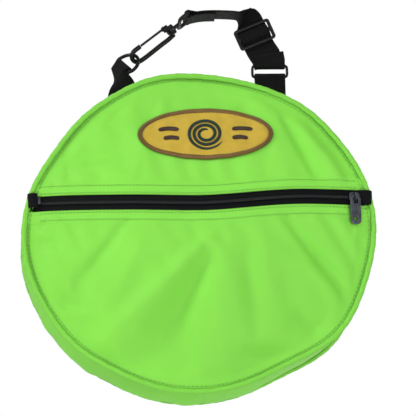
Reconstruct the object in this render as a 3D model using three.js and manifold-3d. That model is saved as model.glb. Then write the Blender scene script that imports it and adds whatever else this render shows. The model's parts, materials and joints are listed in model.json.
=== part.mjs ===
// Soft round zip bag for coiled rope, with a webbing carry handle that clips on with a snap hook.
// Millimetres, +Z up. The back panel's outer face lies in the plane y = 0 and the front faces -Y.
import * as THREE from 'three';
import { mergeVertices } from 'three/addons/utils/BufferGeometryUtils.js';
import Module from 'manifold-3d';

const wasm = await Module();
wasm.setup();

// ---- driving dimensions -------------------------------------------------------------------
const BAG_WIDTH = 352;          // over the piping
const BAG_HEIGHT = 325;         // over the piping
const BAG_DEPTH = 80;           // back panel to the front seam
const FRONT_BULGE = 24;         // how far the middle of the front stands out past its seam
const CLOTH = 1.8;              // coated nylon with its foam and lining
const PIPING = 6.4;             // thickness of the piping, measured outwards
const GAP = 0.4;                // clearance between pieces that slide or lie on each other
const ZIP_HEIGHT = 34;          // the zip runs level, this far above the middle of the bag
const TAPE_EDGE = 7.7;          // half the visible width of the closed zip
const HEM_EDGE = 24;            // the panels' folded hems end this far from the zip's centre line
const WEBBING_WIDTH = 31;
const WEBBING = 1.8;            // one layer of webbing
const RING_WIRE = 3.2;          // wire diameter of the rectangular ring
const LINK_WIRE = 4;            // wire diameter of the D-ring
const HOOK_WIRE = 5.2;          // diameter of the snap hook's spine
const HINGE_HEIGHT = 160.6;     // the handle's tabs bend along this line

const AROUND = 48;              // steps around the bag
const ALONG = 22;               // steps along the zip
const MIDDLE_Y = -BAG_DEPTH / 2;

// half axes of the oval at each layer, worked inwards from the outside of the piping
const pipingOval = [BAG_WIDTH / 2, BAG_HEIGHT / 2];
const gussetOval = pipingOval.map((r) => r - PIPING - 0.3);
const liningOval = gussetOval.map((r) => r - CLOTH);
const panelOval = liningOval.map((r) => r - GAP);

// ---- colours ------------------------------------------------------------------------------
const COLOURS = {
  green: [0x8ce054, 0.8, 0],
  greenTrim: [0x81cf4d, 0.75, 0],
  black: [0x101011, 0.85, 0],
  binding: [0x1c1c1e, 0.9, 0],
  patchYellow: [0xe2c33c, 0.9, 0],
  patchBrown: [0x5a3a1c, 0.9, 0],
  darkMetal: [0x50555f, 0.35, 0.9],
  blackMetal: [0x2a2b2d, 0.4, 0.9],
};

const group = new THREE.Group();

function add(name, colour, geometry) {
  const [color, roughness, metalness] = COLOURS[colour];
  const mesh = new THREE.Mesh(geometry, new THREE.MeshStandardMaterial({ color, roughness, metalness }));
  mesh.name = name;
  group.add(mesh);
}

// ---- geometry helpers ---------------------------------------------------------------------
const V = (x, y, z) => new THREE.Vector3(x, y, z);

// A closed body from points and triangles. Its faces are turned outwards.
function body(points, triangles) {
  let volume = 0;
  for (const [a, b, c] of triangles) {
    volume += points[a].dot(new THREE.Vector3().crossVectors(points[b], points[c]));
  }
  const index = triangles.flatMap(([a, b, c]) => (volume > 0 ? [a, b, c] : [a, c, b]));
  const geometry = new THREE.BufferGeometry().setFromPoints(points);
  geometry.setIndex(index);
  geometry.computeVertexNormals();
  return geometry;
}

// Skins a row of sections that have the same number of points. A loop joins its last to its first.
function loft(sections, loop = false) {
  const count = sections[0].length;
  const points = sections.flat();
  const triangles = [];
  const spans = loop ? sections.length : sections.length - 1;
  for (let i = 0; i < spans; i += 1) {
    const here = i * count;
    const next = ((i + 1) % sections.length) * count;
    for (let j = 0; j < count; j += 1) {
      const k = (j + 1) % count;
      triangles.push([here + j, next + j, next + k], [here + j, next + k, here + k]);
    }
  }
  if (!loop) {
    const last = (sections.length - 1) * count;
    for (let j = 1; j < count - 1; j += 1) {
      triangles.push([0, j, j + 1], [last, last + j + 1, last + j]);
    }
  }
  return body(points, triangles);
}

// A sheet of even thickness over a grid of points on its front; the back lies at +Y.
function sheet(pointAt, columns, rows, thickness) {
  const sections = [];
  for (let i = 0; i <= columns; i += 1) {
    const front = [];
    const back = [];
    for (let j = 0; j <= rows; j += 1) {
      const p = pointAt(i / columns, j / rows);
      front.push(p);
      back.unshift(V(p.x, p.y + thickness, p.z));
    }
    sections.push([...front, ...back]);
  }
  return sheetBody(sections, rows);
}

// The sheet's two end walls are strips between its front row and its back row.
function sheetBody(sections, rows) {
  const count = sections[0].length;
  const points = sections.flat();
  const triangles = [];
  for (let i = 0; i < sections.length - 1; i += 1) {
    for (let j = 0; j < count; j += 1) {
      const k = (j + 1) % count;
      const here = i * count;
      const next = here + count;
      triangles.push([here + j, next + j, next + k], [here + j, next + k, here + k]);
    }
  }
  const last = (sections.length - 1) * count;
  for (let j = 0; j < rows; j += 1) {
    const back = count - 1 - j;
    triangles.push([j, j + 1, back], [j + 1, back - 1, back]);
    triangles.push([last + j, last + back, last + j + 1], [last + j + 1, last + back, last + back - 1]);
  }
  return body(points, triangles);
}

// A ring around the bag. The outline gives [outwards from the oval, y] pairs.
function ovalRing([rx, rz], outline) {
  const sections = [];
  for (let i = 0; i < AROUND; i += 1) {
    const angle = (2 * Math.PI * i) / AROUND;
    const nx = Math.cos(angle);
    const nz = Math.sin(angle);
    sections.push(outline.map(([out, y]) => V((rx + out) * nx, y, (rz + out) * nz)));
  }
  return loft(sections, true);
}

// Joins closed solids into one.
function join(...geometries) {
  const solids = geometries.map((geometry) => {
    const bare = geometry.clone();
    bare.deleteAttribute('normal');
    bare.deleteAttribute('uv');
    const merged = mergeVertices(bare, 1e-4);
    return new wasm.Manifold(new wasm.Mesh({
      numProp: 3,
      vertProperties: new Float32Array(merged.attributes.position.array),
      triVerts: new Uint32Array(merged.index.array),
    }));
  });
  const mesh = solids.reduce((all, one) => all.add(one)).getMesh();
  const geometry = new THREE.BufferGeometry();
  geometry.setAttribute('position', new THREE.BufferAttribute(mesh.vertProperties, 3));
  geometry.setIndex(new THREE.BufferAttribute(mesh.triVerts, 1));
  geometry.computeVertexNormals();
  return geometry;
}

// Places a shape drawn in its own x, y, z along three given directions.
function place(geometry, origin, xDir, yDir, zDir) {
  const matrix = new THREE.Matrix4().makeBasis(xDir, yDir, zDir).setPosition(origin);
  return geometry.applyMatrix4(matrix);
}

// A closed wire loop that follows a flat path in the plane of uDir and vDir.
function wireLoop(path, origin, uDir, vDir, radius, steps = 32, sides = 6) {
  const nDir = new THREE.Vector3().crossVectors(uDir, vDir);
  const spots = path.getSpacedPoints(steps).slice(0, steps);
  const sections = spots.map((spot, i) => {
    const before = spots[(i + steps - 1) % steps];
    const after = spots[(i + 1) % steps];
    const tangent = after.clone().sub(before).normalize();
    const side = uDir.clone().multiplyScalar(tangent.y).addScaledVector(vDir, -tangent.x);
    const centre = origin.clone().addScaledVector(uDir, spot.x).addScaledVector(vDir, spot.y);
    return circle(centre, side, nDir, radius, sides);
  });
  return loft(sections, true);
}

function circle(centre, aDir, bDir, radius, sides) {
  const points = [];
  for (let k = 0; k < sides; k += 1) {
    const angle = (2 * Math.PI * (k + 0.5)) / sides;
    points.push(centre.clone()
      .addScaledVector(aDir, radius * Math.cos(angle))
      .addScaledVector(bDir, radius * Math.sin(angle)));
  }
  return points;
}

// A round bar that follows an open curve.
function bar(curve, radius, steps, sides = 8) {
  const points = [];
  for (let k = 0; k < sides; k += 1) {
    const angle = (2 * Math.PI * k) / sides;
    points.push(new THREE.Vector2(radius * Math.cos(angle), radius * Math.sin(angle)));
  }
  return new THREE.ExtrudeGeometry(new THREE.Shape(points), { steps, extrudePath: curve, bevelEnabled: false });
}

// A rounded rectangle path, centred, for wire loops and plates.
function roundedBox(target, width, height, radius) {
  const x = width / 2;
  const y = height / 2;
  target.moveTo(-x + radius, -y);
  target.lineTo(x - radius, -y);
  target.absarc(x - radius, -y + radius, radius, -Math.PI / 2, 0);
  target.lineTo(x, y - radius);
  target.absarc(x - radius, y - radius, radius, 0, Math.PI / 2);
  target.lineTo(-x + radius, y);
  target.absarc(-x + radius, y - radius, radius, Math.PI / 2, Math.PI);
  target.lineTo(-x, -y + radius);
  target.absarc(-x + radius, -y + radius, radius, Math.PI, 1.5 * Math.PI);
  return target;
}

// Webbing folded round a bar: a loop with a doubled tail that runs along tailDir.
function foldedLoop(centre, tailDir, widthDir, width, barRadius, tail) {
  const inner = barRadius + GAP;
  const outer = inner + WEBBING;
  const mouth = 0.6;
  const shape = new THREE.Shape();
  shape.absarc(0, 0, outer, mouth, 2 * Math.PI - mouth);
  shape.lineTo(tail, -WEBBING);
  shape.lineTo(tail, WEBBING);
  shape.holes.push(new THREE.Path().absarc(0, 0, inner, 0, 2 * Math.PI, true));
  const geometry = new THREE.ExtrudeGeometry(shape, { depth: width, bevelEnabled: false, curveSegments: 10 });
  geometry.translate(0, 0, -width / 2);
  const sideDir = new THREE.Vector3().crossVectors(widthDir, tailDir);
  return place(geometry, centre, tailDir, sideDir, widthDir);
}

// One flat section of webbing: its four corners.
function strapSection(centre, widthDir, normalDir, width, thickness) {
  const corners = [[-1, -1], [1, -1], [1, 1], [-1, 1]];
  return corners.map(([w, t]) => centre.clone()
    .addScaledVector(widthDir, (w * width) / 2)
    .addScaledVector(normalDir, (t * thickness) / 2));
}

// ---- the front's shape --------------------------------------------------------------------
function frontY(x, z) {
  const [a, b] = panelOval;
  return -BAG_DEPTH - FRONT_BULGE * Math.max(0, 1 - (x / a) ** 2 - (z / b) ** 2);
}

const onFront = (x, z, out = 0) => V(x, frontY(x, z) - out, z);
const ovalHalfWidth = ([a, b], z) => a * Math.sqrt(Math.max(0, 1 - (z / b) ** 2));
const ovalHalfHeight = ([a, b], x) => b * Math.sqrt(Math.max(0, 1 - (x / a) ** 2));

// A level ribbon on the front between two heights, as for the zip's tapes and the panels' hems.
function ribbon(zLow, zHigh, xLow, xHigh, out, thickness) {
  const sections = [];
  for (let i = 0; i <= ALONG; i += 1) {
    const x = xLow + ((xHigh - xLow) * i) / ALONG;
    const low = onFront(x, zLow, out);
    const high = onFront(x, zHigh, out);
    sections.push([low, high, V(x, high.y + thickness, zHigh), V(x, low.y + thickness, zLow)]);
  }
  return loft(sections);
}

// ---- shell of the bag ---------------------------------------------------------------------
function buildShell() {
  const disc = new THREE.Shape().absellipse(0, 0, panelOval[0], panelOval[1], 0, 2 * Math.PI);
  const backShape = { depth: CLOTH, bevelEnabled: false, curveSegments: AROUND / 2 };
  const back = new THREE.ExtrudeGeometry(disc, backShape);
  add('back_panel', 'green', back.rotateX(Math.PI / 2));

  const seamGap = 0.4;
  add('gusset', 'green', ovalRing(liningOval, [
    [0, 0], [CLOTH, 0], [CLOTH, -BAG_DEPTH + seamGap], [0, -BAG_DEPTH + seamGap],
  ]));

  // the piping stands outside the gusset, so the front can sink towards the back over it
  const bead = [];
  const beadSides = 6;
  for (let k = 0; k < beadSides; k += 1) {
    const angle = (2 * Math.PI * (k + 0.5)) / beadSides;
    bead.push([(PIPING / 2) * (Math.cos(angle) - 1), 4 * Math.sin(angle)]);
  }
  const beadAt = (y) => bead.map(([out, dy]) => [out, y + dy]);
  add('back_piping', 'greenTrim', ovalRing(pipingOval, beadAt(-4)));
  add('front_piping', 'greenTrim', ovalRing(pipingOval, beadAt(-BAG_DEPTH)));

  // binding tape folded over the seam allowance, inside
  const bindingWidth = 9;
  const bindingDepth = 3;
  const bindingAt = (y) => [[-bindingWidth, y], [0, y], [0, y + bindingDepth], [-bindingWidth, y + bindingDepth]];
  add('back_binding', 'binding', ovalRing(panelOval, bindingAt(-CLOTH - GAP - bindingDepth)));
  add('front_binding', 'binding', ovalRing(panelOval, bindingAt(-BAG_DEPTH + CLOTH + GAP)));
}

// A front panel fills the oval on one side of the zip. side is +1 above it and -1 below.
function panel(side) {
  const edge = ZIP_HEIGHT + side * HEM_EDGE;
  const reach = ovalHalfWidth(panelOval, edge) * 0.998;
  return sheet((u, v) => {
    const x = reach * Math.sin((u - 0.5) * Math.PI);
    const rim = side * ovalHalfHeight(panelOval, x);
    const z = edge + (rim - edge) * (0.004 + 0.996 * v);
    return onFront(x, z);
  }, ALONG, 6, CLOTH);
}

function buildFront() {
  add('front_upper_panel', 'green', panel(1));
  add('front_lower_panel', 'green', panel(-1));

  const hemReach = 150;
  const tapeReach = 155;
  const coilInner = 0.4;
  const coilOuter = 3.2;
  const between = 0.3;
  for (const [side, name] of [[1, 'upper'], [-1, 'lower']]) {
    const level = (a, b) => [ZIP_HEIGHT + side * a, ZIP_HEIGHT + side * b].sort((p, q) => p - q);
    const hem = level(TAPE_EDGE + between, HEM_EDGE - between);
    const tape = level(coilOuter + between, TAPE_EDGE);
    const coil = level(coilInner, coilOuter);
    add(`front_${name}_hem`, 'green', ribbon(...hem, -hemReach, hemReach, 0.6, CLOTH + 0.6));
    add(`zip_tape_${name}`, 'black', ribbon(...tape, -tapeReach, tapeReach, 0, 0.9));
    add(`zip_coil_${name}`, 'black', ribbon(...coil, -tapeReach, tapeReach, 1.2, 2.1));
  }

  // short cloth tabs at the ends of the zip, on the piping; both clear the gusset when the front sinks
  const tabHeight = 14;
  const tabReach = pipingOval[0] - 1;
  const tabStart = ovalHalfWidth(gussetOval, ZIP_HEIGHT - tabHeight / 2) + GAP;
  for (const [side, name] of [[-1, 'left'], [1, 'right']]) {
    const reach = side > 0 ? tabReach : tabReach - 4;
    const box = new THREE.BoxGeometry(reach - tabStart, 1.6, tabHeight);
    box.translate((side * (reach + tabStart)) / 2, -BAG_DEPTH - 4 - GAP - 0.8, ZIP_HEIGHT);
    add(`zip_end_tab_${name}`, 'black', box);
  }
  const stop = new THREE.BoxGeometry(3, 2.4, 7);
  const stopX = -tapeReach - 2.2;
  stop.translate(stopX, frontY(stopX, ZIP_HEIGHT) - 0.6, ZIP_HEIGHT);
  add('zip_stop', 'darkMetal', stop);
}

// ---- oval patch on the upper panel ----------------------------------------------------------
const PATCH = { x: 8, z: 98, halfWidth: 67, halfHeight: 27, border: 4.5, thickness: 1.4 };

function buildPatch() {
  const fieldX = PATCH.halfWidth - PATCH.border - 0.3;
  const fieldZ = PATCH.halfHeight - PATCH.border - 0.3;
  const field = sheet((u, v) => {
    const x = fieldX * Math.sin((u - 0.5) * Math.PI * 0.98);
    const half = fieldZ * Math.sqrt(1 - (x / fieldX) ** 2);
    return onFront(PATCH.x + x, PATCH.z + half * (2 * v - 1), GAP + PATCH.thickness);
  }, 14, 3, PATCH.thickness);
  add('patch_field', 'patchYellow', field);

  const steps = 36;
  const sections = [];
  for (let i = 0; i < steps; i += 1) {
    const angle = (2 * Math.PI * i) / steps;
    const at = (inset, out) => onFront(
      PATCH.x + (PATCH.halfWidth - inset) * Math.cos(angle),
      PATCH.z + (PATCH.halfHeight - inset) * Math.sin(angle),
      out,
    );
    const top = GAP + PATCH.thickness + 0.6;
    sections.push([at(0, GAP), at(PATCH.border, GAP), at(PATCH.border, top), at(0, top)]);
  }
  add('patch_border', 'patchBrown', loft(sections, true));
}

// ---- zip slider and its pull ----------------------------------------------------------------
const SLIDER_X = 154;             // the closed zip's slider is at its right end
const PULL_LENGTH = 29;
const PULL_WIDTH = 11;

// Both are drawn around the middle of the slider's rear face, then turned to follow the front's slope.
function seatOnChain(geometry) {
  const slope = frontY(SLIDER_X + 0.5, ZIP_HEIGHT) - frontY(SLIDER_X - 0.5, ZIP_HEIGHT);
  const chainFront = frontY(SLIDER_X, ZIP_HEIGHT) - 1.2;
  return geometry.rotateZ(Math.atan(slope)).translate(SLIDER_X, chainFront - 0.8, ZIP_HEIGHT);
}

function buildSlider() {
  const wingThickness = 2.2;
  const bailWire = 0.8;
  const bailRoom = 3.5;         // between the wing and the bail, for the pull's top bar to turn in
  const bailY = -wingThickness - bailRoom - bailWire;
  const wing = new THREE.ExtrudeGeometry(
    roundedBox(new THREE.Shape(), 11, 10, 3),
    { depth: wingThickness, bevelEnabled: false, curveSegments: 4 },
  ).rotateX(Math.PI / 2);
  const bailLine = new THREE.CatmullRomCurve3([
    V(0, -wingThickness + 1, 3.8), V(0, bailY + 1.2, 3.5), V(0, bailY, 2), V(0, bailY, -2),
    V(0, bailY + 1.2, -3.5), V(0, -wingThickness + 1, -3.8),
  ]);
  add('zip_slider', 'darkMetal', seatOnChain(join(wing, bar(bailLine, bailWire, 16, 6))));

  const topBar = 2.4;
  const slotHeight = 5.4;
  const shape = roundedBox(new THREE.Shape(), PULL_WIDTH, PULL_LENGTH, 4);
  const slot = roundedBox(new THREE.Path(), 5, slotHeight, 1.5);
  slot.curves.forEach((curve) => shiftCurve(curve, PULL_LENGTH / 2 - topBar - slotHeight / 2));
  const eyelet = new THREE.Path().absarc(0, -PULL_LENGTH / 2 + 5.5, 2.2, 0, 2 * Math.PI, true);
  shape.holes.push(slot, eyelet);
  const thickness = 1.6;
  const pull = new THREE.ExtrudeGeometry(shape, { depth: thickness, bevelEnabled: false, curveSegments: 5 });
  pull.translate(0, topBar / 2 - PULL_LENGTH / 2, -thickness / 2).rotateX(Math.PI / 2);
  pull.translate(0, -wingThickness - bailRoom / 2, 0);
  add('pull_tab', 'darkMetal', seatOnChain(pull));
}

// Moves one piece of a flat path up by dy.
function shiftCurve(curve, dy) {
  if (curve.isLineCurve) {
    curve.v1.y += dy;
    curve.v2.y += dy;
  } else {
    curve.aY += dy;
  }
}

// ---- handle: tabs, D-ring, snap hook, strap, ring and adjuster --------------------------------
const X_DIR = V(1, 0, 0);
const Y_DIR = V(0, 1, 0);
const Z_DIR = V(0, 0, 1);

const linkBar = V(-70, MIDDLE_Y, 180);       // middle of the D-ring's straight bar
const strapBar = V(-4, MIDDLE_Y, 231);       // middle of the swivel eye's far bar
const hookDir = strapBar.clone().sub(linkBar).normalize();
const hookLength = strapBar.distanceTo(linkBar);
const inPlane = V(-hookDir.z, 0, hookDir.x);

// directions square to the hook's length, turned about it from the plane of the bag
const turned = (degrees) => {
  const angle = THREE.MathUtils.degToRad(degrees);
  return inPlane.clone().multiplyScalar(Math.cos(angle)).addScaledVector(Y_DIR, Math.sin(angle));
};
const linkAcross = turned(40).negate();
const hookAcross = turned(-35);
const alongHook = (s, h) => linkBar.clone().addScaledVector(hookDir, s).addScaledVector(hookAcross, h);

const RING_X = 78;
const ringLow = V(RING_X, MIDDLE_Y, 168);    // lower and upper bars of the rectangular ring
const ringHigh = V(RING_X, MIDDLE_Y, 180);

// Fixed foot of a tab, sewn across the gusset. It stops short of the line where the tab bends.
function tabBase(xLow, xHigh, topLow, topHigh) {
  const top = HINGE_HEIGHT - 2.8;
  const foot = (x) => ovalHalfHeight(gussetOval, x) + GAP;
  const shape = new THREE.Shape();
  shape.moveTo(xLow, foot(xLow));
  const steps = 6;
  for (let i = 1; i <= steps; i += 1) {
    const x = xLow + ((xHigh - xLow) * i) / steps;
    shape.lineTo(x, foot(x));
  }
  shape.lineTo(topHigh, top);
  shape.lineTo(topLow, top);
  const geometry = new THREE.ExtrudeGeometry(shape, { depth: 2 * WEBBING, bevelEnabled: false });
  geometry.rotateX(Math.PI / 2);
  return geometry.translate(0, MIDDLE_Y + WEBBING, 0);
}

// Backing patch inside the gusset, behind a tab's stitching.
function tabBacking(xLow, xHigh) {
  const halfDepth = 6;
  const steps = 6;
  const sections = [];
  for (let i = 0; i <= steps; i += 1) {
    const x = xLow + ((xHigh - xLow) * i) / steps;
    const top = ovalHalfHeight(liningOval, x) - GAP;
    sections.push([
      V(x, MIDDLE_Y - halfDepth, top), V(x, MIDDLE_Y + halfDepth, top),
      V(x, MIDDLE_Y + halfDepth, top - 1.5), V(x, MIDDLE_Y - halfDepth, top - 1.5),
    ]);
  }
  return loft(sections);
}

function buildTabs() {
  add('left_tab_base', 'black', tabBase(-87, -56, -85, -57));
  const rightTab = [RING_X - WEBBING_WIDTH / 2, RING_X + WEBBING_WIDTH / 2];
  add('right_tab_base', 'black', tabBase(...rightTab, ...rightTab));
  add('left_tab_backing', 'binding', tabBacking(-90, -53));
  add('right_tab_backing', 'binding', tabBacking(rightTab[0] - 3, rightTab[1] + 3));

  // the left tab twists and narrows from its foot up to the D-ring
  const topWidth = 22;
  const tailEnd = 6;
  const linkNormal = new THREE.Vector3().crossVectors(linkAcross, hookDir).negate();
  const loop = foldedLoop(linkBar, hookDir.clone().negate(), linkAcross, topWidth, LINK_WIRE / 2, tailEnd + 1);
  const low = strapSection(V(-71, MIDDLE_Y, HINGE_HEIGHT + 0.4), X_DIR, Y_DIR, 28, 2 * WEBBING);
  const tail = linkBar.clone().addScaledVector(hookDir, -tailEnd);
  const thickDir = linkNormal.dot(Y_DIR) > 0 ? linkNormal : linkNormal.negate();
  const high = strapSection(tail, linkAcross, thickDir, topWidth - 0.2, 2 * WEBBING - 0.2);
  const steps = 5;
  const sections = [];
  for (let i = 0; i <= steps; i += 1) {
    sections.push(low.map((corner, k) => corner.clone().lerp(high[k], i / steps)));
  }
  add('left_tab_loop', 'black', join(loop, loft(sections)));

  const drop = ringLow.z - HINGE_HEIGHT - 0.4;
  const rightLoop = foldedLoop(ringLow, V(0, 0, -1), X_DIR, WEBBING_WIDTH, RING_WIRE / 2, drop);
  add('right_tab_loop', 'black', rightLoop);
}

function buildLinkRing() {
  const halfBar = 13.5;
  const reach = 17;
  const corner = 3;
  const path = new THREE.Path();
  path.moveTo(0, halfBar - corner);
  path.lineTo(0, -halfBar + corner);
  path.quadraticCurveTo(0, -halfBar, corner, -halfBar);
  path.absellipse(corner, 0, reach - corner, halfBar, -Math.PI / 2, Math.PI / 2);
  path.quadraticCurveTo(0, halfBar, 0, halfBar - corner);
  add('link_ring', 'blackMetal', wireLoop(path, linkBar, hookDir, linkAcross, LINK_WIRE / 2));
}

function buildHook() {
  const bow = HOOK_WIRE + 1.4;               // radius of the bow's centre line
  const tipAt = 12;                          // centre line of the bow's end, from the D-ring's bar
  const collarStart = hookLength - 24;
  const collarEnd = hookLength - 18;
  const noseEnd = 26;

  const points = [alongHook(noseEnd, bow), alongHook(tipAt + bow + 2, bow)];
  for (const degrees of [90, 120, 150, 180, 210, 240, 270]) {
    const angle = THREE.MathUtils.degToRad(degrees);
    points.push(alongHook(tipAt + bow + bow * Math.cos(angle), bow * Math.sin(angle)));
  }
  points.push(alongHook(collarStart - 14, -bow), alongHook(collarStart - 5, -bow));
  points.push(alongHook(collarStart + 3, -bow + 0.8));
  const spine = bar(new THREE.CatmullRomCurve3(points), HOOK_WIRE / 2, 30, 7);

  const pinRadius = 2;
  const collar = new THREE.LatheGeometry([
    new THREE.Vector2(pinRadius + GAP, 0),
    new THREE.Vector2(5.4, 0),
    new THREE.Vector2(5.4, collarEnd - collarStart),
    new THREE.Vector2(pinRadius + GAP, collarEnd - collarStart),
    new THREE.Vector2(pinRadius + GAP, 0),
  ], 16);
  const hookNormal = new THREE.Vector3().crossVectors(hookAcross, hookDir);
  place(collar, alongHook(collarStart, 0), hookAcross, hookDir, hookNormal);

  // two cheeks on the collar carry the gate's rivet
  const gatePivot = [collarStart - 3.5, 6.2];
  const cheeks = [-1, 1].map((side) => {
    const cheek = new THREE.BoxGeometry(4.4, 7.6, 1);
    const centre = alongHook(gatePivot[0] + 1.7, gatePivot[1] - 1.2).addScaledVector(hookNormal, side * 2.5);
    return place(cheek, centre, hookAcross, hookDir, hookNormal);
  });
  const rivetEnds = [-3.4, 3.4].map((n) => alongHook(...gatePivot).addScaledVector(hookNormal, n));
  const rivet = bar(new THREE.LineCurve3(...rivetEnds), 0.9, 1);
  add('hook_body', 'blackMetal', join(spine, collar, ...cheeks, rivet));

  const eyeRadius = 2.1;
  const eye = new THREE.LatheGeometry([
    new THREE.Vector2(0.9 + GAP, -1.4), new THREE.Vector2(eyeRadius + 0.3, -1.4),
    new THREE.Vector2(eyeRadius + 0.3, 1.4), new THREE.Vector2(0.9 + GAP, 1.4),
    new THREE.Vector2(0.9 + GAP, -1.4),
  ], 12);
  place(eye, alongHook(...gatePivot), hookAcross, hookNormal, hookDir.clone().negate());
  const gateLine = new THREE.LineCurve3(
    alongHook(gatePivot[0] - 1.8, gatePivot[1] + 0.2),
    alongHook(noseEnd + 0.6, bow),
  );
  add('hook_gate', 'blackMetal', join(eye, bar(gateLine, 1.3, 1)));

  // the swivel pin turns in the collar; its head sits inside the hook
  const eyeLength = 11;
  const pinEnd = hookLength - eyeLength - collarStart;
  const pin = new THREE.LatheGeometry([
    new THREE.Vector2(0, -2.6), new THREE.Vector2(3.2, -2.6), new THREE.Vector2(3.2, -GAP),
    new THREE.Vector2(pinRadius, -GAP), new THREE.Vector2(pinRadius, pinEnd), new THREE.Vector2(0, pinEnd),
  ], 16);
  place(pin, alongHook(collarStart, 0), hookAcross, hookDir, hookNormal);
  const eyeWidth = WEBBING_WIDTH + 6;
  const eyeCentre = strapBar.clone().addScaledVector(hookDir, -eyeLength / 2);
  const eyePath = roundedBox(new THREE.Path(), eyeLength, eyeWidth, 3);
  const eyeLoop = wireLoop(eyePath, eyeCentre, hookDir, Y_DIR, 2.2, 36);
  add('swivel_eye', 'blackMetal', join(pin, eyeLoop));
}

// Centre line of the strap in the plane of the handle, from the swivel eye to the ring.
const strapLine = new THREE.CatmullRomCurve3([
  strapBar, V(14, MIDDLE_Y, 233.5), V(38, MIDDLE_Y, 233.2), V(48.5, MIDDLE_Y, 231.6), V(55.5, MIDDLE_Y, 227),
  V(60, MIDDLE_Y, 219.5), V(69, MIDDLE_Y, 198.8), V(75, MIDDLE_Y, 188.5), ringHigh,
]);

// The strap lies on edge along the top and turns flat to the front down the right side.
function strapFrame(t) {
  const tangent = strapLine.getTangent(t);
  const turn = THREE.MathUtils.smoothstep(t, 0.34, 0.54) * (Math.PI / 2);
  const side = V(-tangent.z, 0, tangent.x);
  const widthDir = Y_DIR.clone().multiplyScalar(Math.cos(turn)).addScaledVector(side, -Math.sin(turn));
  const normalDir = side.clone().multiplyScalar(Math.cos(turn)).addScaledVector(Y_DIR, Math.sin(turn));
  return { centre: strapLine.getPoint(t), widthDir, normalDir };
}

function strapRun(tLow, tHigh, steps, thickness) {
  const sections = [];
  for (let i = 0; i <= steps; i += 1) {
    const { centre, widthDir, normalDir } = strapFrame(tLow + ((tHigh - tLow) * i) / steps);
    sections.push(strapSection(centre, widthDir, normalDir, WEBBING_WIDTH, thickness));
  }
  return loft(sections);
}

function buildStrap() {
  const doubled = 2 * WEBBING;
  const start = strapLine.getTangent(0.02).normalize();
  const startLoop = foldedLoop(strapBar, start, Y_DIR, WEBBING_WIDTH, 2.2, 9);
  const finishLoop = foldedLoop(ringHigh, Z_DIR, X_DIR, WEBBING_WIDTH, RING_WIRE / 2, 8);
  add('strap', 'black', join(startLoop, strapRun(0.055, 0.905, 20, doubled), finishLoop));

  const ringPath = roundedBox(new THREE.Path(), WEBBING_WIDTH + 1 + RING_WIRE, ringHigh.z - ringLow.z, 2.5);
  const ringCentre = ringLow.clone().add(ringHigh).multiplyScalar(0.5);
  add('right_ring', 'blackMetal', wireLoop(ringPath, ringCentre, X_DIR, Z_DIR, RING_WIRE / 2, 36));
}

// The adjuster lies on the strap's front. The returning layer of webbing hangs below it, in front of the strap.
function buildAdjuster() {
  const at = 0.675;
  const { centre } = strapFrame(at);
  const down = strapLine.getTangent(at);
  const out = V(0, -1, 0);
  const across = new THREE.Vector3().crossVectors(down, out).normalize();
  const plateThickness = 2.4;
  const plateBack = WEBBING + 0.9;
  const plateShape = roundedBox(new THREE.Shape(), WEBBING_WIDTH + 8, 22, 3);
  for (const side of [-1, 1]) {
    const slot = roundedBox(new THREE.Path(), WEBBING_WIDTH + 1.4, 6.4, 1);
    slot.curves.forEach((curve) => shiftCurve(curve, side * 5));
    plateShape.holes.push(slot);
  }
  const plate = new THREE.ExtrudeGeometry(plateShape, {
    depth: plateThickness, bevelEnabled: false, curveSegments: 3,
  });
  const seat = centre.clone().addScaledVector(out, plateBack);
  add('adjuster', 'blackMetal', place(plate, seat, across, down, out));

  const layerOut = plateBack + plateThickness + GAP + WEBBING / 2;
  const stations = 9;
  const tStart = at - 0.01;
  const tEnd = 0.9;
  const sections = [];
  for (let i = 0; i <= stations; i += 1) {
    const frame = strapFrame(tStart + ((tEnd - tStart) * i) / stations);
    const spot = frame.centre.clone().addScaledVector(out, layerOut);
    sections.push(strapSection(spot, frame.widthDir, out, WEBBING_WIDTH, WEBBING));
  }
  add('strap_return', 'black', loft(sections));
}

buildShell();
buildFront();
buildPatch();
buildSlider();
buildTabs();
buildLinkRing();
buildHook();
buildStrap();
buildAdjuster();

export default group;
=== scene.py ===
"""Looks for the round rope bag: cloth shell, zip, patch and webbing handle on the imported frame. Metres."""
import json
import math

import bpy
import numpy as np
from mathutils import Matrix, Vector
from mathutils.bvhtree import BVHTree


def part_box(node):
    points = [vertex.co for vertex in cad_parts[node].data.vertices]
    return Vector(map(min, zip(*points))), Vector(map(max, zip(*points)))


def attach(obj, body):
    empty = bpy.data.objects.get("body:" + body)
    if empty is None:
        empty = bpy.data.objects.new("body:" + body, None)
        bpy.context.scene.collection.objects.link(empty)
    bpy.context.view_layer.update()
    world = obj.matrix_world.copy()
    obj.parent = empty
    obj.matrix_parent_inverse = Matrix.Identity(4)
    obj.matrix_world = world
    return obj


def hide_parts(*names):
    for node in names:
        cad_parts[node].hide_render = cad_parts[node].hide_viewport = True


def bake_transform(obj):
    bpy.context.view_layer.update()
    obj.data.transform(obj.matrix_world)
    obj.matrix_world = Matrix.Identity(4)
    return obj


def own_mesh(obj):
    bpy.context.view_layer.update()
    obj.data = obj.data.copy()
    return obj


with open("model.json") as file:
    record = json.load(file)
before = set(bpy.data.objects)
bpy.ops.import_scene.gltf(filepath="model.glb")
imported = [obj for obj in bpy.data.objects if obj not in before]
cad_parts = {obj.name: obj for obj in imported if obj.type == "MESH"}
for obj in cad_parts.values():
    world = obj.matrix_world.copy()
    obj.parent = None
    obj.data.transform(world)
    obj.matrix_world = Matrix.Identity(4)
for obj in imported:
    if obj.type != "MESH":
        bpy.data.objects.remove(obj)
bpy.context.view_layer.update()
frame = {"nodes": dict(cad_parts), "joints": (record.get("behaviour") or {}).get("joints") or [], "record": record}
SCENE = bpy.context.scene
MM = 0.001

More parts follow.
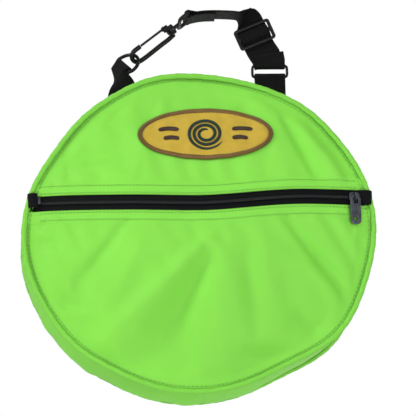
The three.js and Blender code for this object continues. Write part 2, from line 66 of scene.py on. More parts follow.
# ---- driving sizes: those of the CAD are read from the frame ----


def corners(node):
    low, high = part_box(node)
    return np.array(low), np.array(high)


def middle(node):
    low, high = corners(node)
    return (low + high) / 2


BACK_LOW, BACK_HIGH = corners("back_panel")
HALF_WIDTH = (BACK_HIGH[0] - BACK_LOW[0]) / 2
HALF_HEIGHT = (BACK_HIGH[2] - BACK_LOW[2]) / 2
GUSSET_OUT = corners("gusset")[1][0] - HALF_WIDTH       # gusset's outer face, out from the panels' edge
PIPING_OUT = corners("front_piping")[1][0] - HALF_WIDTH
RIM_Y = middle("front_piping")[1]
BACK_RIM_Y = middle("back_piping")[1]
ZIP_Z = middle("zip_slider")[2]
APEX_Y = corners("zip_tape_upper")[0][1]
BULGE = (RIM_Y - APEX_Y) / (1 - (ZIP_Z / HALF_HEIGHT) ** 2)
SLIDER_X = middle("zip_slider")[0]
CHAIN_END = corners("zip_coil_upper")[1][0]             # half the length of the zip's chain
TAPE_END = CHAIN_END + 8.5 * MM                         # its tapes run on under the end tabs
TAPE_EDGE = 7.8 * MM                                    # zip's centre line to the cloth's folded edge
ZIP_SAG = 4.6 * MM                                      # how far the zip's left half hangs below its slider
MID_Y = middle("strap")[1]

JOINTS = {joint["name"]: joint for joint in frame["joints"]}

CLOTH = 1.3 * MM                                        # thickness of the bag's panels
HEM_ROWS = [2.2 * MM, 9.5 * MM]                         # stitch rows beside the zip, from the folded edge
LAYER = 1.7 * MM                                        # thickness of the webbing
STRAP_WIDTH = 31 * MM
BAR_SLACK = 0.35 * MM                                   # air between a bar and the webbing looped round it

X_AXIS, Y_AXIS, Z_AXIS = np.eye(3)
FORWARD = -Y_AXIS                                       # the way the bag's front faces


# ---- small helpers ----


def smooth(value, low, high):
    t = np.clip((value - low) / (high - low), 0, 1)
    return t * t * (3 - 2 * t)


def unit(vectors):
    """The vector, or each row of vectors, at length 1."""
    vectors = np.asarray(vectors, float)
    return vectors / np.linalg.norm(vectors, axis=-1, keepdims=True)


def strides(run):
    """At each point of a run, the way from the point behind it to the point ahead."""
    return np.vstack([run[1:], run[-1:]]) - np.vstack([run[:1], run[:-1]])


def travelled(run):
    """How far along a run of points each of them lies."""
    steps = np.linalg.norm(np.diff(run, axis=0), axis=1)
    return np.concatenate([[0], np.cumsum(steps)])


def places(run, spots):
    """The places that lie at given distances along a run of points."""
    reach = travelled(run)
    return np.stack([np.interp(spots, reach, run[:, k]) for k in range(3)], axis=-1)


def build(name, points, faces, material, uvs=None):
    mesh = bpy.data.meshes.new(name)
    mesh.from_pydata([tuple(p) for p in points], [], [tuple(f) for f in faces])
    mesh.validate()
    if uvs is not None:
        layer = mesh.uv_layers.new(name="cloth")
        for loop in mesh.loops:
            layer.data[loop.index].uv = uvs[loop.vertex_index]
    mesh.shade_smooth()
    piece = bpy.data.objects.new(name, mesh)
    SCENE.collection.objects.link(piece)
    mesh.materials.append(material)
    return piece


def set_all(thing, **settings):
    for key, value in settings.items():
        setattr(thing, key, value)


def modify(piece, kind, **settings):
    modifier = piece.modifiers.new(kind.lower(), kind)
    set_all(modifier, **settings)
    return modifier


def apply_all(piece):
    graph = bpy.context.evaluated_depsgraph_get()
    mesh = bpy.data.meshes.new_from_object(piece.evaluated_get(graph))
    piece.modifiers.clear()
    piece.data = mesh


def grid_faces(rows, columns, wrap_rows=False, wrap_columns=False):
    faces = []
    for i in range(rows if wrap_rows else rows - 1):
        for j in range(columns if wrap_columns else columns - 1):
            a = i * columns + j
            b = i * columns + (j + 1) % columns
            c = ((i + 1) % rows) * columns + (j + 1) % columns
            d = ((i + 1) % rows) * columns + j
            faces.append((a, b, c, d))
    return faces


def disc_faces(rings, segments):
    """Faces of a disc whose points are its centre and then its rings, from the inside out."""
    faces = [(0, 1 + k, 1 + (k + 1) % segments) for k in range(segments)]
    for i in range(rings - 1):
        for k in range(segments):
            a = 1 + i * segments + k
            b = 1 + i * segments + (k + 1) % segments
            faces.append((a, a + segments, b + segments, b))
    return faces


def capped_tube(base, sections, sides):
    """Faces of a closed tube whose points start at index base."""
    faces = [tuple(base + i for i in face) for face in grid_faces(sections, sides, False, True)]
    faces.append(tuple(base + k for k in reversed(range(sides))))
    faces.append(tuple(base + (sections - 1) * sides + k for k in range(sides)))
    return faces


def face_outwards(piece):
    """Turns a closed piece's faces to point out."""
    mesh = piece.data
    volume = 0.0
    mesh.calc_loop_triangles()
    for tri in mesh.loop_triangles:
        a, b, c = (mesh.vertices[i].co for i in tri.vertices)
        volume += a.dot(b.cross(c))
    if volume < 0:
        mesh.flip_normals()


def thicken(piece, thickness, face, outward):
    """Gives a sheet its thickness, added behind the side it shows; outward is that side's way at one face."""
    shown = piece.data.polygons[face].normal.dot(Vector(outward)) > 0
    modify(piece, "SOLIDIFY", thickness=thickness, offset=-1.0 if shown else 1.0)


def fit(piece, body, slot, *nodes):
    """Puts a piece on its body in place of its CAD nodes; its slot is not used."""
    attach(piece, body)
    if nodes:
        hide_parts(*nodes)


# ---- materials ----


class Finish:
    """A procedural material under construction."""

    def __init__(self, name, colour, roughness, metallic=0.0):
        self.material = bpy.data.materials.new(name)
        self.material.use_nodes = True
        self.tree = self.material.node_tree
        self.surface = self.tree.nodes["Principled BSDF"]
        self.surface.inputs["Base Color"].default_value = (*colour, 1)
        self.surface.inputs["Roughness"].default_value = roughness
        self.surface.inputs["Metallic"].default_value = metallic
        self.colour = colour

    def node(self, kind, inputs=(), **settings):
        made = self.tree.nodes.new("ShaderNode" + kind)
        set_all(made, **settings)
        for slot, value in dict(inputs).items():
            if isinstance(value, bpy.types.NodeSocket):
                self.tree.links.new(value, made.inputs[slot])
            else:
                made.inputs[slot].default_value = value
        return made

    def math(self, operation, a, b=0.0):
        return self.node("Math", {0: a, 1: b}, operation=operation).outputs[0]

    def uv(self):
        split = self.node("SeparateXYZ", {0: self.node("UVMap").outputs[0]})
        return split.outputs[0], split.outputs[1]

    def noise(self, scale, detail):
        place = self.node("TexCoord").outputs["Object"]
        return self.node("TexNoise", {"Vector": place, "Scale": scale, "Detail": detail}).outputs["Fac"]

    def wave(self, value, pitch):
        return self.math("SINE", self.math("MULTIPLY", value, 2 * math.pi / pitch))

    def painted_crease_shade(self, colour, depth, amount):
        """Painted shade: darkens a colour by ambient occlusion in creases and along seams, where light doesn't
        reach.
        """
        open_air = self.node("AmbientOcclusion", {"Distance": depth}, samples=8).outputs["AO"]
        shade = self.node("MapRange", {0: open_air, 1: 0.2, 2: 0.9, 3: 1 - amount, 4: 1.0}).outputs[0]
        dark = self.node("VectorMath", {0: colour, "Scale": shade}, operation="SCALE")
        self.tree.links.new(dark.outputs[0], self.surface.inputs["Base Color"])

    def vary_colour(self, amount, scale, second=None):
        """Mixes the colour lighter and darker with a soft noise, and with a second factor if given."""
        light = [min(1.0, c * (1 + amount)) for c in self.colour]
        dark = [c * (1 - amount) for c in self.colour]
        factor = self.noise(scale, 4.0)
        if second is not None:
            factor = self.math("ADD", self.math("MULTIPLY", factor, 0.6), self.math("MULTIPLY", second, 0.4))
        ramp = self.node("ValToRGB", {0: factor})
        ramp.color_ramp.elements[0].position = 0.3
        ramp.color_ramp.elements[1].position = 0.7
        ramp.color_ramp.elements[0].color = (*dark, 1)
        ramp.color_ramp.elements[1].color = (*light, 1)
        self.tree.links.new(ramp.outputs[0], self.surface.inputs["Base Color"])
        return ramp.outputs[0]

    def bump(self, height, distance, strength):
        made = self.node("Bump", {"Height": height, "Distance": distance, "Strength": strength})
        self.tree.links.new(made.outputs[0], self.surface.inputs["Normal"])

    def sheen(self, weight, roughness):
        self.surface.inputs["Sheen Weight"].default_value = weight
        self.surface.inputs["Sheen Roughness"].default_value = roughness


def woven_nylon(name, colour, pitch):
    """Plain-weave coated nylon: a fine over-and-under pattern with uneven yarns and slow colour drift."""
    finish = Finish(name, colour, 0.55)
    u, v = finish.uv()
    weave = finish.math("MULTIPLY", finish.wave(u, pitch), finish.wave(v, pitch))
    yarn = finish.noise(900, 1.0)
    height = finish.math("ADD", weave, finish.math("MULTIPLY", yarn, 0.8))
    crease = finish.noise(55, 3.0)
    height = finish.math("ADD", height, finish.math("MULTIPLY", crease, 5.0))
    finish.bump(height, 0.05 * MM, 0.8)
    varied = finish.vary_colour(0.09, 9, finish.math("MULTIPLY", finish.math("ADD", weave, 1.0), 0.5))
    # painted shade: creases and seams darkened by ambient occlusion
    finish.painted_crease_shade(varied, 8 * MM, 0.8)
    finish.sheen(0.04, 0.4)
    finish.surface.inputs["Specular IOR Level"].default_value = 0.28
    return finish.material


def webbing_finish(name, colour):
    """Nylon webbing: rows of herringbone ribs that run across the strap, with smooth edges."""
    finish = Finish(name, colour, 0.62)
    u, v = finish.uv()
    zigzag = finish.math("PINGPONG", v, 2.6 * MM)
    ribs = finish.wave(finish.math("ADD", u, zigzag), 1.7 * MM)
    rows = finish.wave(v, 1.3 * MM)
    height = finish.math("ADD", ribs, finish.math("MULTIPLY", rows, 0.6))
    finish.bump(height, 0.16 * MM, 1.0)
    finish.vary_colour(0.35, 60, finish.math("MULTIPLY", finish.math("ADD", ribs, 1.0), 0.5))
    finish.sheen(0.03, 0.35)
    finish.surface.inputs["Specular IOR Level"].default_value = 0.16
    return finish.material


def thread_finish(name, colour, pitch, along_u=True):
    """Embroidery or overlocked thread: close parallel strands with a silky roughness."""
    finish = Finish(name, colour, 0.45)
    u, v = finish.uv()
    strands = finish.wave(u if along_u else v, pitch)
    fibre = finish.noise(1500, 1.0)
    finish.bump(finish.math("ADD", strands, finish.math("MULTIPLY", fibre, 0.5)), 0.12 * MM, 0.9)
    finish.vary_colour(0.14, 120, finish.math("MULTIPLY", finish.math("ADD", strands, 1.0), 0.5))
    finish.sheen(0.2, 0.3)
    return finish.material


def moulded_finish(name, colour, roughness):
    """Plain moulded nylon, faintly uneven."""
    finish = Finish(name, colour, roughness)
    finish.bump(finish.noise(700, 2.0), 0.03 * MM, 0.6)
    finish.vary_colour(0.15, 150)
    return finish.material


def metal_finish(name, colour, roughness, metallic=1.0):
    """Cast metal with a worn satin coat: fine scratches, and edges rubbed a little brighter."""
    finish = Finish(name, colour, roughness, metallic)
    scratch = finish.noise(420, 6.0)
    finish.bump(scratch, 0.05 * MM, 0.7)
    edge = finish.node("NewGeometry").outputs["Pointiness"]
    worn = finish.node("MapRange", {0: edge, 1: 0.5, 2: 0.6, 3: 0.0, 4: 1.0}).outputs[0]
    finish.vary_colour(0.45, 130, worn)
    rough = finish.node("MapRange", {0: scratch, 1: 0.3, 2: 0.7, 3: roughness * 0.75, 4: roughness * 1.35})
    finish.tree.links.new(rough.outputs[0], finish.surface.inputs["Roughness"])
    return finish.material


GREEN = woven_nylon("green_nylon_weave", (0.262, 0.800, 0.076), 0.9 * MM)
# the piping is the bag's own green nylon, painted a tenth darker as shade along the rim
GREEN_TRIM_SHADED = woven_nylon("green_trim_shaded_weave", (0.235, 0.720, 0.068), 0.7 * MM)
GREEN_THREAD = thread_finish("green_stitch_thread", (0.230, 0.690, 0.075), 0.5 * MM)
WEBBING = webbing_finish("black_webbing_weave", (0.0022, 0.0022, 0.0025))
TAPE = webbing_finish("zip_tape_weave", (0.0024, 0.0027, 0.0040))
BINDING = webbing_finish("binding_weave", (0.012, 0.012, 0.014))
COIL = moulded_finish("zip_coil_nylon", (0.006, 0.006, 0.008), 0.36)
GUNMETAL = metal_finish("slider_gunmetal", (0.120, 0.130, 0.150), 0.34)
HOOK_METAL = metal_finish("black_coated_metal", (0.011, 0.011, 0.013), 0.40, 0.5)
YELLOW = thread_finish("patch_yellow_fill", (0.760, 0.520, 0.045), 0.55 * MM, False)
BROWN = thread_finish("patch_border_thread", (0.205, 0.105, 0.018), 0.8 * MM)
DARK_BROWN = thread_finish("patch_bar_thread", (0.045, 0.016, 0.006), 0.6 * MM)
DARK_GREEN = thread_finish("patch_coil_thread", (0.006, 0.030, 0.018), 0.6 * MM)


# ---- the bag's outline and front surface ----

# soft places where the rim of the standing bag sags in or pushes out: angle, spread, distance
RIM_DENTS = [
    (148, 17, -4.5 * MM), (299, 17, -8.0 * MM), (14, 15, 2.5 * MM), (238, 12, -1.5 * MM),
    (106, 13, 4.0 * MM), (50, 12, 3.0 * MM), (184, 14, 2.0 * MM), (318, 18, 3.5 * MM),
]


def rim_scale(angle):
    """The rim's size at an angle as a share of its true oval's."""
    degrees = np.degrees(angle) % 360
    total = np.zeros_like(np.asarray(angle, float))
    for centre, spread, distance in RIM_DENTS:
        away = (degrees - centre + 180) % 360 - 180
        total = total + distance * np.exp(-((away / spread) ** 2))
    total = total + 0.5 * MM * np.sin(5 * angle + 0.7) + 0.35 * MM * np.sin(11 * angle + 2)
    return 1 + total / HALF_WIDTH


def rim_point(angle, out):
    scale = rim_scale(angle)
    return (HALF_WIDTH + out) * np.cos(angle) * scale, (HALF_HEIGHT + out) * np.sin(angle) * scale


# folds in the front, in millimetres: from, to, half widths at each end, height (+ out, - in), and how much
# steeper the right-hand side of the fold is than its left, seen along it
FOLDS = [
    ((4, -10), (-104, -118), 11, 26, 8.0, 2.0),
    ((2, -34), (-52, -128), 7, 17, -5.5, 1.0),
    ((-20, -96), (-24, -142), 12, 16, -3.5, 1.0),
    ((-62, -20), (-96, -84), 8, 14, 2.5, 1.0),
    ((-72, 10), (-118, -50), 5, 9, -3.4, 1.2),
    ((22, -18), (20, -124), 13, 22, 4.0, 1.0),
    ((44, -26), (52, -96), 6, 10, -2.4, 1.2),
    ((62, -20), (74, -100), 9, 14, 2.2, 1.0),
    ((82, 14), (150, -76), 5, 9, -5.2, 1.8),
    ((104, -34), (148, -72), 8, 12, 4.2, 0.8),
    ((98, -86), (132, -116), 9, 12, -3.8, 1.2),
    ((46, -120), (92, -136), 8, 12, -3.4, 1.0),
    ((-164, -6), (-140, -12), 6, 6, -2.4, 1.0),
    ((-142, -66), (-116, -74), 7, 8, -2.6, 1.4),
    ((-130, -92), (-98, -126), 8, 8, -2.6, 1.2),
    ((86, 112), (120, 50), 5, 10, -4.2, 1.6),
    ((104, 112), (136, 54), 7, 10, 2.8, 0.9),
    ((-144, 68), (-62, 82), 8, 11, -3.0, 1.4),
    ((-122, 52), (-66, 56), 8, 8, 1.8, 1.0),
    ((-88, 112), (-74, 130), 7, 7, -1.8, 1.0),
    ((-20, 138), (36, 136), 5, 5, -1.6, 1.0),
]


FOLD_DEPTH = 1.2                                        # scales the height of every fold


def fold_height(x, z):
    """Outward shift of the cloth from its smooth dome, in metres."""
    x, z = x / MM, z / MM
    total = np.zeros_like(x)
    for (x0, z0), (x1, z1), wide0, wide1, height, steep in FOLDS:
        dx, dz = x1 - x0, z1 - z0
        length = math.hypot(dx, dz)
        along = ((x - x0) * dx + (z - z0) * dz) / length**2
        held = np.clip(along, 0, 1)
        off_x, off_z = x - x0 - dx * held, z - z0 - dz * held
        side = (off_x * dz - off_z * dx) / length
        wide = (wide0 + (wide1 - wide0) * held) / np.where(side > 0, steep, 1.0)
        swing = np.exp(-((np.hypot(off_x, off_z) / wide) ** 2))
        total = total + FOLD_DEPTH * height * swing * (0.35 + 0.65 * np.sin(np.pi * (0.12 + 0.76 * held)))
    # small slack all over, drawn out in soft lines that lean down to the left
    lean = 0.8 * x + 0.6 * z + 9 * np.sin(z / 31) + 6 * np.sin(x / 23)
    across = 0.6 * x - 0.8 * z
    slack = 0.55 * np.sin(lean / 7.5) * np.sin(across / 26 + 1) + 0.4 * np.sin(lean / 4.1 + across / 17)
    return (total + slack) * MM


def front_y(x, z):
    """The front cloth's outer face."""
    x, z = np.asarray(x, float), np.asarray(z, float)
    scale = rim_scale(np.arctan2(z / HALF_HEIGHT, x / HALF_WIDTH))
    reach = np.sqrt((x / HALF_WIDTH) ** 2 + (z / HALF_HEIGHT) ** 2) / scale
    dome = BULGE * np.clip(1 - reach**2, 0, 1)
    fade = smooth(1 - reach, 0.0, 0.11) * smooth(np.abs(z - ZIP_Z), 6 * MM, 24 * MM)
    out = dome + fade * fold_height(x, z)
    # the cloth can't fall in past the seam allowance behind it: a soft limit at the rim's depth
    soft = 0.8 * MM
    return RIM_Y - np.logaddexp(0, out / soft) * soft + math.log(2) * soft * 0.9


def zip_level(x):
    """Height of the zip's centre line: it hangs low across the left half and rises to the slider's end."""
    share = np.asarray(x, float) / SLIDER_X
    sag = ZIP_SAG * (1 - smooth(share, -0.05, 0.75)) + 3.2 * MM * np.exp(-(((share - 0.02) / 0.42) ** 2))
    return ZIP_Z - sag + 1.2 * MM * smooth(-share, 0.5, 1.0)


# ---- cloth simulation ----


def settle(piece, pinned, frames, spread, gravity, cap):
    """Lets a pinned sheet of cloth hang and buckle, then keeps the result, moved by no more than cap."""
    group = piece.vertex_groups.new(name="held")
    group.add([int(i) for i in pinned], 1.0, "REPLACE")
    cloth = modify(piece, "CLOTH")
    set_all(cloth.settings, quality=7, mass=0.12, tension_damping=12, air_damping=2)
    set_all(cloth.settings, tension_stiffness=22, compression_stiffness=22, shear_stiffness=6)
    set_all(cloth.settings, bending_stiffness=0.6, vertex_group_mass="held", shrink_min=-spread)
    cloth.settings.effector_weights.gravity = gravity
    cloth.collision_settings.use_collision = False
    cloth.point_cache.frame_end = frames
    before = np.array([v.co for v in piece.data.vertices])
    for number in range(1, frames + 1):
        SCENE.frame_set(number)
    graph = bpy.context.evaluated_depsgraph_get()
    after = np.array([v.co for v in piece.evaluated_get(graph).data.vertices])
    piece.modifiers.clear()
    piece.vertex_groups.clear()
    SCENE.frame_set(1)
    move = after - before
    length = np.linalg.norm(move, axis=1)
    move *= np.minimum(1, cap / np.maximum(length, 1e-9))[:, None]
    for vertex, place in zip(piece.data.vertices, before + move):
        vertex.co = place


# ---- shell ----


def panel_grid(side, columns, rows):
    """Points of a front panel, row by row from the zip's edge to the rim, where it tucks under the piping."""
    tuck = 4.4 * MM
    start = math.asin((ZIP_Z + side * TAPE_EDGE) / HALF_HEIGHT)
    angles = np.linspace(start, side * math.pi - start, columns)
    rim_x, rim_z = rim_point(angles, tuck)
    share = np.linspace(0, 1, columns)
    bunched = (1 - np.cos(math.pi * share)) / 2
    mix = 0.72 if side < 0 else 1.0
    even = share * (1 - mix) + bunched * mix
    edge_x = rim_x[0] + (rim_x[-1] - rim_x[0]) * even
    edge_z = zip_level(edge_x) + side * TAPE_EDGE
    points = []
    for j in range(rows):
        t = (j / (rows - 1)) ** 0.92
        x = edge_x + (rim_x - edge_x) * t
        z = edge_z + (rim_z - edge_z) * t
        points.append(np.stack([x, front_y(x, z), z], axis=1))
    return np.concatenate(points)


def front_panel(name, side, rows, *nodes):
    """The front's cloth above or below the zip, held along its edges while it settles."""
    columns = 110
    points = panel_grid(side, columns, rows)
    piece = build(name, points, grid_faces(rows, columns), GREEN, points[:, [0, 2]].tolist())
    numbers = np.arange(rows * columns)
    row, column = numbers // columns, numbers % columns
    held = numbers[(row < 3) | (row == rows - 1) | (column == 0) | (column == columns - 1)]
    reach = np.hypot(points[:, 0] / HALF_WIDTH, points[:, 2] / HALF_HEIGHT)
    settle(piece, held, 20, 0.010, 0.0, 3.5 * MM * (1 - smooth(reach, 0.84, 0.97)))
    hem_step(piece, side)
    modify(piece, "SUBSURF", levels=1, render_levels=1)
    thicken(piece, CLOTH, len(piece.data.polygons) // 2, FORWARD)
    apply_all(piece)
    piece.data.shade_smooth()
    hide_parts(*nodes)
    return piece


def hem_step(piece, side):
    """The folded hem stands up by one thickness of cloth, and its first row of stitching pulls it down."""
    for vertex in piece.data.vertices:
        x, y, z = vertex.co
        away = side * (z - zip_level(x)) - TAPE_EDGE
        step = 1.1 * MM * (1 - smooth(away, 11 * MM, 13.5 * MM))
        groove = 0.5 * MM * math.exp(-(((away - HEM_ROWS[0]) / (1.2 * MM)) ** 2))
        vertex.co.y = y - step + groove


def ring_strip(name, profile, material, segments, ripple):
    """A closed ring around the bag; profile lists [out from the panels' edge, y] round its section.

    The ripple moves the section out and along y at each angle.
    """
    angles = np.linspace(0, 2 * math.pi, segments, endpoint=False)
    points, uvs = [], []
    reach = 0.0
    for angle in angles:
        shift_out, shift_y = ripple(angle)
        for m, (out, y) in enumerate(profile):
            x, z = rim_point(angle, out + shift_out)
            points.append((x, y + shift_y, z))
            uvs.append((reach, m * 1.5 * MM))
        reach += 2 * math.pi * HALF_WIDTH / segments
    faces = grid_faces(segments, len(profile), True, True)
    piece = build(name, points, faces, material, uvs)
    face_outwards(piece)
    return piece


def oval_section(out, y, half_out, half_y, sides, power):
    """An oval, squarer at its corners the smaller its power is."""
    section = []
    for k in range(sides):
        angle = 2 * math.pi * k / sides
        c, s = math.cos(angle), math.sin(angle)
        section.append((
            out + half_out * math.copysign(abs(c) ** power, c),
            y + half_y * math.copysign(abs(s) ** power, s),
        ))
    return section


def piping(name, node, centre_y, body, phase):
    """Folded piping with small puckers where its stitching pulls."""

    def ripple(angle):
        pucker = 0.16 * MM * math.sin(61 * angle + phase) + 0.12 * MM * math.sin(143 * angle + 2 * phase)
        sway = 0.6 * MM * math.sin(7 * angle + phase)
        return pucker, sway

    section = oval_section(PIPING_OUT - 4.3 * MM, centre_y, 2.8 * MM, 2.7 * MM, 12, 0.8)
    piece = ring_strip(name, section, GREEN_TRIM_SHADED, 520, ripple)
    fit(piece, body, "green_trim", node)


def gusset_profile(angle, share):
    """How far the side band stands out at a share of its depth, from 0 at the back seam to 1 at the front.

    Round the top and sides it bellies out. Round the bottom, where the rope's weight lies, it slumps into a
    full roll near the back, and draws in behind the front piping. At the lower right it is pulled tight.
    """
    belly = math.sin(math.pi * share) ** 0.6
    slump = float(smooth(-math.sin(angle), 0.15, 0.75))
    roll = 1.45 * math.exp(-(((share - 0.32) / 0.24) ** 2)) * min(1.0, 6 * share)
    drawn_in = 0.45 * float(smooth(share, 0.55, 0.72)) * min(1.0, 16 * (1 - share))
    tight = math.exp(-(((math.degrees(angle) - 318) / 30) ** 2))
    return (belly * (1 - slump) + (roll - drawn_in) * slump) * (1 - 0.85 * tight)


def gusset():
    """The side band, wrinkled where its seams gather it, with the join of its two ends at the bottom."""
    segments, rows = 420, 19
    angles = np.linspace(0, 2 * math.pi, segments, endpoint=False)
    front_edge = RIM_Y + 2.5 * MM
    depth = np.linspace(BACK_RIM_Y - 1.5 * MM, front_edge, rows)
    join_angle = math.radians(271)
    points, uvs = [], []
    for angle in angles:
        join = math.exp(-(((angle - join_angle) / 0.011) ** 2))
        for j, y in enumerate(depth):
            share = j / (rows - 1)
            stand = gusset_profile(angle, share)
            gather = 1 - math.sin(math.pi * share)
            wrinkle = 0.8 * math.sin(19 * angle + 3 * share) + 0.6 * math.sin(33 * angle - 4 * share + 1)
            wrinkle += 0.5 * math.sin(57 * angle + 5 * share + 2) * gather
            out = GUSSET_OUT - 0.4 * MM + stand * (4.8 * MM + wrinkle * 0.7 * MM) - 1.6 * MM * join
            x, z = rim_point(angle, out)
            points.append((x, y, z))
            uvs.append((angle * HALF_WIDTH, y))
    faces = grid_faces(segments, rows, True, False)
    piece = build("gusset_cloth", points, faces, GREEN, uvs)
    held = [i for i in range(segments * rows) if i % rows in (0, rows - 1)]
    settle(piece, held, 16, 0.015, 0.15, 1.6 * MM)
    modify(piece, "SUBSURF", levels=1, render_levels=1)
    thicken(piece, 1.4 * MM, rows // 2, X_AXIS)
    apply_all(piece)
    piece.data.shade_smooth()
    fit(piece, "bag", "green_nylon", "gusset")
    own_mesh(piece)


def back_panel():
    """The flat back, eased inwards by a few soft hollows."""
    rings, segments = 30, 160
    points, uvs = [(0.0, 0.0, 0.0)], [(0.0, 0.0)]
    for i in range(1, rings + 1):
        share = i / rings
        for k in range(segments):
            angle = 2 * math.pi * k / segments
            x, z = rim_point(angle, 2.4 * MM)
            x, z = x * share, z * share
            hollow = 0.9 + math.sin(x * 31 + 1) * math.sin(z * 27 + 2) * 0.6 + math.sin(x * 55 - z * 40) * 0.3
            y = -max(0.0, hollow) * 1.8 * MM * (1 - share**6) - 0.2 * MM
            points.append((x, y, z))
            uvs.append((x, z))
    piece = build("back_cloth", points, disc_faces(rings, segments), GREEN, uvs)
    thicken(piece, CLOTH, segments * 5, Y_AXIS)
    apply_all(piece)
    fit(piece, "bag", "green_nylon", "back_panel")


def inner_binding(name, node, body, dip=0.0):
    """Tape round a seam allowance; beside the zip's ends it dips inwards, clear of the opening lips."""

    def ripple(angle):
        away = HALF_HEIGHT * math.sin(angle) - ZIP_Z
        return 0.0, dip * math.exp(-((away / (24 * MM)) ** 2))

    section = oval_section(-4.5 * MM, middle(node)[1], 4.5 * MM, 1.4 * MM, 10, 0.6)
    piece = ring_strip(name, section, BINDING, 240, ripple)
    fit(piece, body, "binding", node)


# ---- surface finder, for pieces that lie on the cloth ----


class Surface:
    """The outer face of the front's cloth."""

    def __init__(self, *pieces):
        graph = bpy.context.evaluated_depsgraph_get()
        self.trees = [BVHTree.FromObject(piece, graph) for piece in pieces]

    def point(self, x, z, lift=0.0):
        """The point of the cloth at x and z, lifted off it to the front."""
        hits = [tree.ray_cast(Vector((x, -0.3, z)), Vector(Y_AXIS), 0.35)[0] for tree in self.trees]
        found = [hit.y for hit in hits if hit is not None]
        return x, min(found, default=float(front_y(x, z))) - lift, z


# section of a stitch along its length: share of the length, rise and girth as shares of the thread's width
STITCH = [(0, -0.5, 0.5), (0.18, 0.55, 1.0), (0.5, 0.8, 1.1), (0.82, 0.55, 1.0), (1, -0.5, 0.5)]


def stitches(name, path, length=2.7 * MM, gap=1.0 * MM, width=0.42 * MM):
    """A row of thread stitches along a list of points on the front."""
    path = np.array(path)
    path_end = travelled(path)[-1]
    sides = 6
    points, faces, uvs = [], [], []
    here = 0.5 * gap
    while here + length < path_end:
        start, end = places(path, [here, here + length])
        side = np.cross(unit(end - start), FORWARD)
        faces += capped_tube(len(points), len(STITCH), sides)
        for share, rise, girth in STITCH:
            centre = start + (end - start) * share + FORWARD * rise * width
            for k in range(sides):
                angle = 2 * math.pi * k / sides
                spot = side * math.cos(angle) + FORWARD * 0.8 * math.sin(angle)
                points.append(centre + spot * width * girth)
                uvs.append((here + share * length, k * 0.2 * MM))
        here += length + gap
    piece = build(name, points, faces, GREEN_THREAD, uvs)
    return piece


# ---- zip ----


def zip_tape(side, name, node):
    """One side's woven tape, from the chain to beyond the cloth's stitching."""
    columns = 120
    xs = np.linspace(-TAPE_END, TAPE_END, columns)
    widths = [0.9 * MM, 4 * MM, TAPE_EDGE, 12 * MM]
    points, uvs = [], []
    for away in widths:
        z = zip_level(xs) + side * away
        points += np.stack([xs, front_y(xs, z) + 0.7 * MM, z], axis=1).tolist()
        uvs += [(x, away) for x in xs]
    piece = build(name, points, grid_faces(len(widths), columns), TAPE, uvs)
    modify(piece, "SOLIDIFY", thickness=0.6 * MM, offset=0.0)
    apply_all(piece)
    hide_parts(node)
    return piece


# section of a chain loop, in millimetres: from the zip's middle, and out from the tape
COIL_LOOP = [(-0.2, 0.2), (0.0, 0.85), (0.9, 1.0), (1.7, 0.8), (2.3, 0.3), (1.7, -0.1)]


def coil_row(side, name, node, body):
    """One side of the chain: a row of rounded nylon loops that hook between those opposite."""
    pitch = 1.9 * MM
    half_thick = 0.52 * MM
    loop_middle = 1.05
    points, faces, uvs = [], [], []
    for i in range(int(2 * CHAIN_END / pitch)):
        x = -CHAIN_END + (i + (0.25 if side > 0 else 0.75)) * pitch
        z0 = float(zip_level(x))
        y0 = float(front_y(x, z0)) - 0.6 * MM
        faces += capped_tube(len(points), 3, len(COIL_LOOP))
        for dx, squeeze in [(-half_thick, 0.7), (0, 1.0), (half_thick, 0.7)]:
            for away, rise in COIL_LOOP:
                reach = loop_middle + (away - loop_middle) * squeeze - 0.55
                points.append((x + dx, y0 - rise * squeeze * MM, z0 + side * reach * 1.25 * MM))
                uvs.append((x, away * MM))
    fit(build(name, points, faces, COIL, uvs), body, "zip_coil", node)


def end_tab(node, name):
    """A short cloth tab over the zip's end, lapped onto the piping."""
    low, high = corners(node)
    outer = max(low[0], high[0], key=abs)
    side = math.copysign(1, outer)
    inner = side * (CHAIN_END + 3.5 * MM)
    outer -= side * 2.5 * MM
    columns, rows = 12, 7
    points, uvs = [], []
    for i in range(columns):
        t = i / (columns - 1)
        x = inner + (outer - inner) * t
        for j in range(rows):
            z = ZIP_Z + (j / (rows - 1) - 0.5) * (high[2] - low[2]) * 1.06
            y = RIM_Y - 2.4 * MM - 2.6 * MM * math.sin(math.pi * (0.15 + 0.6 * t)) + 3.4 * MM * t**4
            points.append((x, y, z))
            uvs.append((x, z))
    piece = build(name, points, grid_faces(columns, rows), TAPE, uvs)
    modify(piece, "SOLIDIFY", thickness=1.2 * MM, offset=0.0)
    modify(piece, "SUBSURF", levels=1, render_levels=1)
    apply_all(piece)
    fit(piece, "front", "zip_tape", node)


# ---- patch ----


PATCH_LOW, PATCH_HIGH = corners("patch_border")
PATCH_X, _, PATCH_Z = middle("patch_border")
PATCH_HALF_X, _, PATCH_HALF_Z = (PATCH_HIGH - PATCH_LOW) / 2
BORDER = 4.6 * MM                                       # width of the patch's overlocked border


def patch_field(surface):
    """The patch's embroidered oval."""
    rings, segments = 10, 96
    rise = 1.5 * MM
    points, uvs = [surface.point(PATCH_X, PATCH_Z, rise)], [(PATCH_X, PATCH_Z)]
    for i in range(1, rings + 1):
        for k in range(segments):
            angle = 2 * math.pi * k / segments
            x = PATCH_X + (PATCH_HALF_X - BORDER * 0.6) * i / rings * math.cos(angle)
            z = PATCH_Z + (PATCH_HALF_Z - BORDER * 0.6) * i / rings * math.sin(angle)
            points.append(surface.point(x, z, rise))
            uvs.append((x, z))
    piece = build("patch_field_embroidery", points, disc_faces(rings, segments), YELLOW, uvs)
    thicken(piece, 1.2 * MM, segments * 2, FORWARD)
    apply_all(piece)
    fit(piece, "front", "patch_field", "patch_field")


